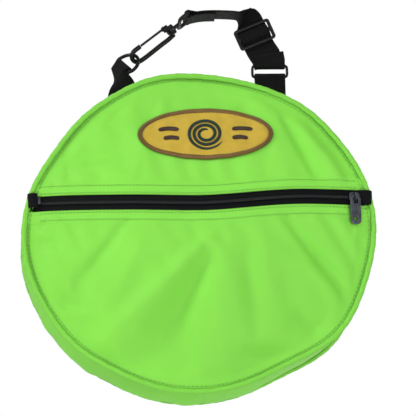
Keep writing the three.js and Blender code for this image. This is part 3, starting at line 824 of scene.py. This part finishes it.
def patch_border(surface):
    """Overlocked border: a padded ring whose thread wraps slant across it."""
    steps, sides, wraps = 420, 9, 105
    points, uvs = [], []
    for i in range(steps):
        angle = 2 * math.pi * i / steps
        wrap = 1 + 0.10 * math.cos(angle * wraps)
        for k in range(sides):
            turn = 2 * math.pi * k / sides
            inset = BORDER / 2 - BORDER / 2 * math.cos(turn) * wrap
            x = PATCH_X + (PATCH_HALF_X - inset) * math.cos(angle)
            z = PATCH_Z + (PATCH_HALF_Z - inset) * math.sin(angle)
            points.append(surface.point(x, z, 1.3 * MM + 1.15 * MM * math.sin(turn) * wrap))
            uvs.append((angle * PATCH_HALF_X, turn * MM))
    piece = build("patch_border_overlock", points, grid_faces(steps, sides, True, True), BROWN, uvs)
    face_outwards(piece)
    fit(piece, "front", "patch_border", "patch_border")


def raised_strip(name, line, width, rise, surface, material):
    """A padded satin-stitch line that follows a plan path over the patch, tapered at both ends."""
    line = np.array(line)
    count = len(line)
    sides = 7
    points, uvs = [], []
    reach = 0.0
    for i, stride in enumerate(strides(line)):
        side = unit([-stride[1], stride[0]])
        taper = math.sqrt(max(0.06, 1 - (2 * i / (count - 1) - 1) ** 8))
        for k in range(sides):
            turn = 2 * math.pi * k / sides
            x, z = line[i] + side * math.cos(turn) * width / 2 * taper
            points.append(surface.point(x, z, 1.4 * MM + rise * (0.35 + math.sin(turn)) * taper))
            uvs.append((reach, math.cos(turn) * width / 2))
        reach += np.linalg.norm(stride) / 2
    piece = build(name, points, capped_tube(0, count, sides), material, uvs)
    face_outwards(piece)
    fit(piece, "front", "patch_border")


def patch_motif(surface):
    """A plain coiled-rope sign: one line wound round on itself, and two bars each side."""
    line = []
    turns = 2.75
    count = 190
    for k in range(count):
        share = k / (count - 1)
        angle = math.radians(60) + 2 * math.pi * turns * share
        reach = (4.5 + 12.0 * share) * MM
        line.append((PATCH_X + reach * 1.12 * math.cos(angle), PATCH_Z + reach * math.sin(angle)))
    raised_strip("patch_coiled_rope", line, 3.5 * MM, 0.75 * MM, surface, DARK_GREEN)
    for side, name in [(-1, "left"), (1, "right")]:
        for row, (start, end, lift) in enumerate([(26, 47, 4.6), (26, 42, -4.8)]):
            xs = np.linspace(start, end, 16) * MM
            bend = 1.0 * MM * np.sin(np.linspace(0, math.pi, 16))
            line = [(PATCH_X + side * x, PATCH_Z + lift * MM + b) for x, b in zip(xs, bend)]
            raised_strip(f"patch_bar_{name}_{row + 1}", line, 4.6 * MM, 0.7 * MM, surface, DARK_BROWN)


# ---- hardware: CAD shapes with rounded, finished surfaces ----


# CAD node, what the piece is called after, voxel size in millimetres, and rounds of smoothing
ZIP_METAL = [("zip_stop", "metal", 0.3, 3), ("zip_slider", "metal", 0.28, 4), ("pull_tab", "metal", 0.28, 3)]
HANDLE_METAL = [
    ("link_ring", "wire", 0.45, 6), ("hook_body", "metal", 0.45, 5), ("hook_gate", "metal", 0.35, 3),
    ("swivel_eye", "metal", 0.45, 5), ("right_ring", "wire", 0.4, 5), ("adjuster", "plate", 0.4, 3),
]


def refine(material, slot, node, kind, voxel, passes):
    """Rounds a CAD solid: fine remesh, relaxed, at the same size and place."""
    source = frame["nodes"][node]
    piece = bpy.data.objects.new(f"{node}_{kind}", source.data.copy())
    SCENE.collection.objects.link(piece)
    piece.data.materials.clear()
    piece.data.materials.append(material)
    modify(piece, "REMESH", mode="VOXEL", voxel_size=voxel * MM, use_smooth_shade=True)
    modify(piece, "SMOOTH", factor=0.5, iterations=passes)
    apply_all(piece)
    body = next(b for b, names in frame["record"]["behaviour"]["bodies"].items() if node in names)
    fit(piece, body, slot, node)


# ---- webbing ----


def catmull(points, count):
    """Even points along a smooth curve through the given ones."""
    points = np.array(points, float)
    padded = np.vstack([2 * points[0] - points[1], points, 2 * points[-1] - points[-2]])
    dense = []
    for i in range(1, len(padded) - 2):
        p0, p1, p2, p3 = padded[i - 1:i + 3]
        for t in np.linspace(0, 1, 24, endpoint=False):
            dense.append(0.5 * (2 * p1 + (p2 - p0) * t + (2 * p0 - 5 * p1 + 4 * p2 - p3) * t**2
                                + (3 * p1 - p0 - 3 * p2 + p3) * t**3))
    dense = np.array([*dense, points[-1]])
    return places(dense, np.linspace(0, travelled(dense)[-1], count))


# half a webbing's section, from its middle to its edge, as shares of its half width and half thickness
HALF_SECTION = [(0, 0.96), (0.6, 1.0), (0.88, 1.08), (0.97, 0.85), (1, 0.35)]


def webbing(name, centres, width_dirs, width, thickness, material=WEBBING):
    """Flat webbing with rounded, slightly thicker edges along a run of centres and width directions."""
    centres = np.array(centres)
    count = len(centres)
    widths = np.broadcast_to(width, (count,))
    face = [(-h, b) for h, b in HALF_SECTION[:0:-1]] + HALF_SECTION
    section = face + [(h, -b) for h, b in reversed(face)]
    points, uvs = [], []
    reach = 0.0
    for i, stride in enumerate(strides(centres)):
        tangent = unit(stride)
        across = unit(width_dirs[i] - tangent * np.dot(width_dirs[i], tangent))
        normal = np.cross(tangent, across)
        for h, b in section:
            points.append(centres[i] + across * h * widths[i] / 2 + normal * b * thickness / 2)
            uvs.append((reach, h * widths[i] / 2))
        reach += np.linalg.norm(stride) / 2
    piece = build(name, points, capped_tube(0, count, len(section)), material, uvs)
    face_outwards(piece)
    return piece


def aligned(dirs):
    """Keeps neighbouring width directions from flipping over."""
    fixed = [dirs[0]]
    for direction in dirs[1:]:
        fixed.append(direction if direction.dot(fixed[-1]) >= 0 else -direction)
    return fixed


LOOP_POINTS = 16


def loop_arc(bar, tail_dir, width_dir, wire, start, end):
    """Middles of the webbing round a bar, from angle start to end, measured from the tail's direction."""
    radius = wire + BAR_SLACK + LAYER / 2
    side_dir = np.cross(width_dir, tail_dir)
    angles = np.radians(np.linspace(start, end, LOOP_POINTS))[:, None]
    return bar + radius * (np.cos(angles) * tail_dir + np.sin(angles) * side_dir)


def webbing_tab(side, foot, bend, bar, tail_dir, bar_dir, wire, bar_width):
    """A tab: webbing that leaves its seam, runs up and round a bar and comes back down to the seam."""
    gap = LAYER / 2 + 0.15 * MM
    top = bar + tail_dir * (wire + BAR_SLACK + LAYER / 2 + 3.2 * MM)
    spine = catmull([foot, bend, top], 16)
    share = np.linspace(0, 1, len(spine))
    turn = smooth(share, 0.25, 1.0)[:, None]
    across = X_AXIS * (1 - turn) + bar_dir * turn
    normals = unit(np.cross(unit(strides(spine)), across))
    normals *= np.where(normals @ np.cross(bar_dir, tail_dir) > 0, 1, -1)[:, None]
    arc = loop_arc(bar, tail_dir, bar_dir, wire, -52, -308)
    centres = np.vstack([spine - normals * gap, arc, (spine + normals * gap)[::-1]])
    dirs = np.vstack([across, np.repeat(bar_dir[None], len(arc), 0), across[::-1]])
    run = STRAP_WIDTH + (bar_width - STRAP_WIDTH) * smooth(share, 0.1, 0.95)
    wide = np.concatenate([run, np.full(len(arc), bar_width), run[::-1]])
    piece = webbing(f"{side}_tab_webbing", centres, dirs, wide, LAYER)
    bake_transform(piece)
    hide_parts(f"{side}_tab_base", f"{side}_tab_loop")


# wires of the bars that webbing is looped round, and the middles of the bars
LINK_WIRE = 2 * MM
EYE_WIRE = 2.2 * MM
RING_WIRE = 1.6 * MM
HOOK_DIR = unit(JOINTS["hook_swivel"]["axis"])
LINK_BAR = np.array(JOINTS["link_play"]["pos_m"])
EYE_X = corners("swivel_eye")[1][0] - EYE_WIRE
EYE_BAR = np.array([EYE_X, MID_Y, LINK_BAR[2] + HOOK_DIR[2] / HOOK_DIR[0] * (EYE_X - LINK_BAR[0])])
RING_LOW, RING_HIGH = corners("right_ring")
RING_X = (RING_LOW[0] + RING_HIGH[0]) / 2
LOWER_BAR = np.array([RING_X, MID_Y, RING_LOW[2] + RING_WIRE])
UPPER_BAR = np.array([RING_X, MID_Y, RING_HIGH[2] - RING_WIRE])


def tabs():
    """The two tabs that hold the handle to the bag."""
    hinge_z = JOINTS["handle_fold"]["pos_m"][2]
    left_x = middle("left_tab_base")[0]
    foot = np.array([left_x, MID_Y, HALF_HEIGHT * 0.91])
    bend = np.array([left_x + 0.6 * MM, MID_Y, hinge_z])
    link_across = unit(JOINTS["link_play"]["axis"])
    webbing_tab("left", foot, bend, LINK_BAR, -HOOK_DIR, link_across, LINK_WIRE, 21 * MM)
    foot = np.array([RING_X, MID_Y, HALF_HEIGHT * 0.90])
    bend = np.array([RING_X, MID_Y, hinge_z])
    webbing_tab("right", foot, bend, LOWER_BAR, -Z_AXIS, X_AXIS, RING_WIRE, STRAP_WIDTH)


def tab_backing(side):
    """A patch of binding under a tab's foot, inside the gusset."""
    node = f"{side}_tab_backing"
    low, high = corners(node)
    xs = np.linspace(low[0], high[0], 16)
    zs = (HALF_HEIGHT + 0.2 * MM) * np.sin(np.arccos(np.clip(xs / HALF_WIDTH, -1, 1)))
    centres = [(x, MID_Y, z) for x, z in zip(xs, zs)]
    width = high[1] - low[1]
    piece = webbing(f"{side}_backing_webbing", centres, [Y_AXIS] * len(xs), width, 1.3 * MM, BINDING)
    fit(piece, "handle_feet", "binding", node)


# bends of the strap's centre line between the eye and the ring: x and z in millimetres
STRAP_BENDS = [(14, 233.5), (38, 233.2), (48.5, 231.6), (55.5, 227), (60, 219.5), (69, 198.8), (75, 188.5)]
STRAP_STEPS = 90


def strap_run():
    """The strap's centre line, width directions and normals: on edge along the top, flat down the side."""
    bends = [(x * MM, MID_Y, z * MM) for x, z in STRAP_BENDS]
    line = catmull([EYE_BAR, *bends, UPPER_BAR], STRAP_STEPS)
    sides = np.cross(unit(strides(line)), Y_AXIS)
    turn = smooth(np.linspace(0, 1, STRAP_STEPS), 0.44, 0.60)[:, None] * math.pi / 2
    across = Y_AXIS * np.cos(turn) - sides * np.sin(turn)
    return line, across, sides * np.cos(turn) + Y_AXIS * np.sin(turn)


def strap(line, across, normal):
    """The strap, from its end under the top run: round the eye, along, round the ring and a little back."""
    tail = range(22, 6, -1)
    main = range(7, 82)
    under = [line[i] - normal[i] * 2.2 * MM for i in tail]
    eye_arc = loop_arc(EYE_BAR, unit(line[6] - line[0]), Y_AXIS, EYE_WIRE, 50, 310)
    over = [line[i] + normal[i] * 0.3 * MM * (1 - i / STRAP_STEPS) for i in main]
    ring_arc = loop_arc(UPPER_BAR, Z_AXIS, X_AXIS, RING_WIRE, -50, -310)
    leg = [UPPER_BAR + [-1.2 * MM * t, -3.1 * MM, (5 + 7 * t) * MM] for t in (0, 0.5, 1)]
    centres = [*under, *eye_arc, *over, *ring_arc, *leg]
    dirs = [*across[tail], *[Y_AXIS] * LOOP_POINTS, *across[main], *[X_AXIS] * (LOOP_POINTS + len(leg))]
    piece = webbing("strap_webbing", centres, aligned(dirs), STRAP_WIDTH, LAYER)
    fit(piece, "handle", "black_webbing", "strap")


# returning layer, in millimetres: way along the strap past the adjuster, and distance in front of the strap
RETURN_LIFT = [(-22, 1.8), (-9.5, 1.8), (-6, 3.2), (-3, 5.7), (0, 6.2), (3, 5.7), (6, 3.2), (9.5, 1.8),
               (13, 1.8), (20, 2.3), (25, 2.7)]


def strap_return(line, across):
    """Returning layer: from the ring up the strap's front, over the adjuster's middle bar, and on past it."""
    plate_x, _, plate_z = middle("adjuster")
    nearest = np.argmin(np.linalg.norm(line - [plate_x, MID_Y, plate_z], axis=1))
    reach = travelled(line)
    past, lifts = np.transpose(RETURN_LIFT)
    along = np.linspace(past[0], past[-1], 64)
    spots = reach[nearest] + along * MM
    centres = places(line, spots) + FORWARD * np.interp(along, past, lifts)[:, None] * MM
    dirs = across[np.minimum(np.searchsorted(reach, spots), STRAP_STEPS - 1)]
    piece = webbing("strap_return_webbing", centres, aligned(dirs), 30.4 * MM, 1.5 * MM)
    fit(piece, "strap_adjuster", "black_webbing", "strap_return")


# ---- build the bag ----


def zip_stitching(surface, side, name):
    """Two rows of stitching beside a panel's folded edge."""
    stitch_end = CHAIN_END + 2 * MM
    xs = np.linspace(-stitch_end, stitch_end, 240)
    rows = []
    for number, away in enumerate(HEM_ROWS, start=1):
        zs = zip_level(xs) + side * (TAPE_EDGE + away)
        path = [surface.point(x, z) for x, z in zip(xs, zs)]
        rows.append(stitches(f"zip_stitching_{name}_{number}", path))
    return rows


def rim_stitching(surface):
    """A row of stitching inside the piping, drawn straight past the zip's ends."""
    path = []
    for angle in np.linspace(0, 2 * math.pi, 721):
        x, z = rim_point(angle, -0.8 * MM)
        if abs(z - ZIP_Z) > 11 * MM:
            path.append(surface.point(x, z))
    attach(stitches("rim_stitching", path, 3.0 * MM, 1.2 * MM, 0.38 * MM), "front")


def across_lip(piece):
    """Bakes a piece's placing into its mesh."""
    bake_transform(piece)


upper = front_panel("front_upper_cloth", 1, 26, "front_upper_panel", "front_upper_hem")
lower = front_panel("front_lower_cloth", -1, 46, "front_lower_panel", "front_lower_hem")
surface = Surface(upper, lower)
patch_field(surface)
patch_border(surface)
patch_motif(surface)
upper_rows = zip_stitching(surface, 1, "upper")
lower_rows = zip_stitching(surface, -1, "lower")
rim_stitching(surface)

upper_tape = zip_tape(1, "zip_tape_upper_cloth", "zip_tape_upper")
lower_tape = zip_tape(-1, "zip_tape_lower_cloth", "zip_tape_lower")
coil_row(1, "zip_coil_upper_teeth", "zip_coil_upper", "upper_lip")
coil_row(-1, "zip_coil_lower_teeth", "zip_coil_lower", "lower_lip")
end_tab("zip_end_tab_left", "zip_end_cloth_left")
end_tab("zip_end_tab_right", "zip_end_cloth_right")
for solid in ZIP_METAL:
    refine(GUNMETAL, "slider_metal", *solid)
for piece in [upper, upper_tape, *upper_rows]:
    across_lip(piece)
for piece in [lower, lower_tape, *lower_rows]:
    across_lip(piece)

gusset()
back_panel()
piping("front_piping_cloth", "front_piping", RIM_Y - 0.4 * MM, "front", 0.4)
piping("back_piping_cloth", "back_piping", BACK_RIM_Y + 1 * MM, "bag", 1.9)
inner_binding("front_binding_tape", "front_binding", "front", 9 * MM)
inner_binding("back_binding_tape", "back_binding", "bag")

tabs()
strap_line, strap_across, strap_normal = strap_run()
strap(strap_line, strap_across, strap_normal)
strap_return(strap_line, strap_across)
tab_backing("left")
tab_backing("right")
for solid in HANDLE_METAL:
    refine(HOOK_METAL, "hook_metal", *solid)


# ---- floor, light and camera ----


def floor():
    """A pale floor well below the bag, which hangs by its handle; it is seen only from above."""
    level = -0.62
    size = 4.0
    finish = Finish("pale_floor", (0.86, 0.86, 0.86), 0.6)
    finish.bump(finish.noise(30, 2.0), 0.1 * MM, 0.2)
    clear = finish.node("BsdfTransparent")
    behind = finish.node("NewGeometry").outputs["Backfacing"]
    mix = finish.node("MixShader", {0: behind, 1: finish.surface.outputs[0], 2: clear.outputs[0]})
    output = finish.tree.nodes["Material Output"]
    finish.tree.links.new(mix.outputs[0], output.inputs["Surface"])
    points = [(-size, -size, level), (size, -size, level), (size, size, level), (-size, size, level)]
    plane = build("floor", points, [(0, 1, 2, 3)], finish.material)


def sky():
    world = bpy.data.worlds.new("studio")
    SCENE.world = world
    world.use_nodes = True
    nodes, links = world.node_tree.nodes, world.node_tree.links
    shade = nodes["Background"]
    shade.inputs["Color"].default_value = (1, 1, 1, 1)
    direction = nodes.new("ShaderNodeSeparateXYZ")
    links.new(nodes.new("ShaderNodeTexCoord").outputs["Generated"], direction.inputs[0])
    strength = nodes.new("ShaderNodeMapRange")
    for number, value in enumerate([-0.5, 0.3, 0.22, 0.48], start=1):     # darker below the horizon
        strength.inputs[number].default_value = value
    links.new(direction.outputs["Z"], strength.inputs[0])
    links.new(strength.outputs[0], shade.inputs["Strength"])
    seen = nodes.new("ShaderNodeBackground")
    seen.inputs["Color"].default_value = (1, 1, 1, 1)
    seen.inputs["Strength"].default_value = 1.0
    path = nodes.new("ShaderNodeLightPath")
    mix = nodes.new("ShaderNodeMixShader")
    links.new(path.outputs["Is Camera Ray"], mix.inputs[0])
    links.new(shade.outputs[0], mix.inputs[1])
    links.new(seen.outputs[0], mix.inputs[2])
    links.new(mix.outputs[0], nodes["World Output"].inputs["Surface"])


def lamp(name, place, energy, size):
    """A square area light that looks at the bag."""
    data = bpy.data.lights.new(name, "AREA")
    data.energy = energy
    data.size = size
    made = bpy.data.objects.new(name, data)
    SCENE.collection.objects.link(made)
    made.location = place
    made.rotation_euler = (Vector((0, -0.05, 0)) - Vector(place)).to_track_quat("-Z", "Y").to_euler()


def camera():
    """Near frontal, a little from the left and from below."""
    azimuth, elevation, roll = math.radians(-4), math.radians(-11.5), math.radians(-1.35)
    distance = 3.0
    view_width = 0.4165
    aim = Vector((0.0122, MID_Y, 0.0337))
    away = Vector((math.sin(azimuth) * math.cos(elevation), -math.cos(azimuth) * math.cos(elevation),
                   math.sin(elevation)))
    data = bpy.data.cameras.new("camera")
    data.sensor_width = 36
    data.lens = 36 * distance / view_width
    made = bpy.data.objects.new("camera", data)
    SCENE.collection.objects.link(made)
    made.location = aim + away * distance
    turn = (-away).to_track_quat("-Z", "Y").to_matrix() @ Matrix.Rotation(roll, 3, "Z")
    made.rotation_euler = turn.to_euler()
    SCENE.camera = made


floor()
sky()
lamp("key_light", (-2.8, -1.5, 1.7), 52, 0.8)
lamp("fill_light", (1.1, -3.2, -0.5), 52, 1.5)
lamp("bounce_light", (0.2, -1.5, -2.2), 6, 1.5)
lamp("back_light", (1.2, 3.0, 1.4), 45, 1.5)
camera()
SCENE.view_settings.view_transform = "Standard"
